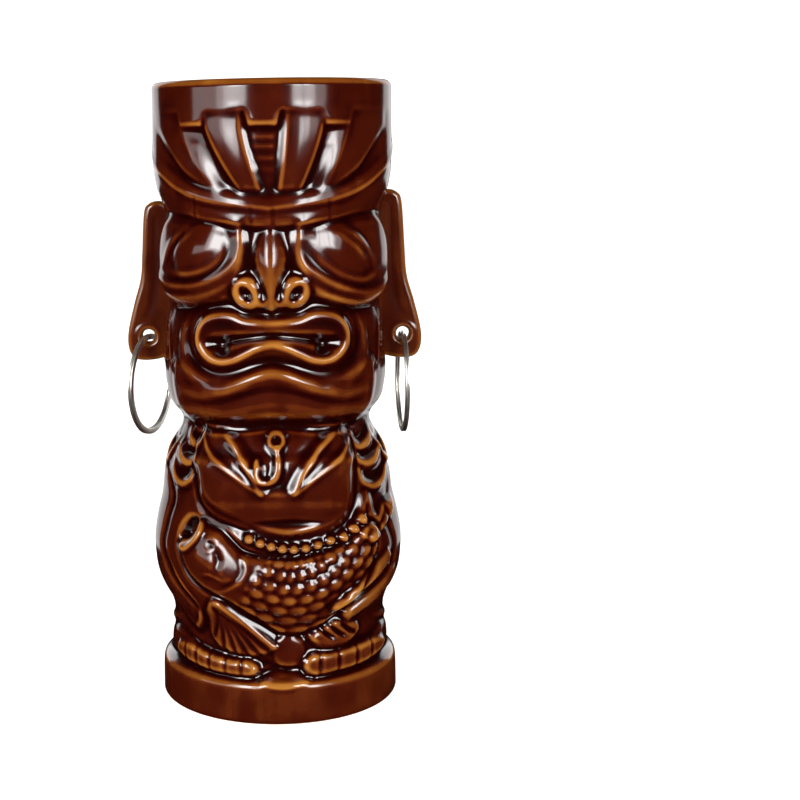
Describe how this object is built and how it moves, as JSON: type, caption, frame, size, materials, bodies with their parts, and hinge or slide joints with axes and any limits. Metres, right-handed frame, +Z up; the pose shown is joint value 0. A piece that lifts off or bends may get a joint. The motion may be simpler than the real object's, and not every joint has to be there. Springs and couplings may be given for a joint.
{
  "type": "tiki mug",
  "caption": "Tall hollow glazed ceramic drinking mug shaped as a carved standing figure holding a fish, with pierced ear lugs that carry loose swinging split rings.",
  "frame": {"origin": "centre of the base, on the surface that the mug stands on", "axes": "+Z up to the rim, the carved face looks along -Y, +X to the right of somebody who faces the mug"},
  "size_m": [0.0822, 0.0704, 0.17],
  "materials": {
    "glaze": "glossy treacle-brown glaze, amber where it breaks over edges",
    "ring_metal": "polished nickel plate"
  },
  "bodies": {
    "mug": {"mug_body": "glaze", "left_ear": "glaze", "right_ear": "glaze"},
    "left_ring": {"left_earring": "ring_metal"},
    "right_ring": {"right_earring": "ring_metal"}
  },
  "joints": [
    {"name": "left_ring_swing", "type": "hinge", "parent": "mug", "child": "left_ring", "pos_m": [-0.0356, 0.005, 0.1004], "axis": [0.309, 0.9511, 0], "range_deg": [-8, 150]},
    {"name": "right_ring_swing", "type": "hinge", "parent": "mug", "child": "right_ring", "pos_m": [0.0356, 0.005, 0.1004], "axis": [0.0523, -0.9986, 0], "range_deg": [-8, 150]}
  ]
}
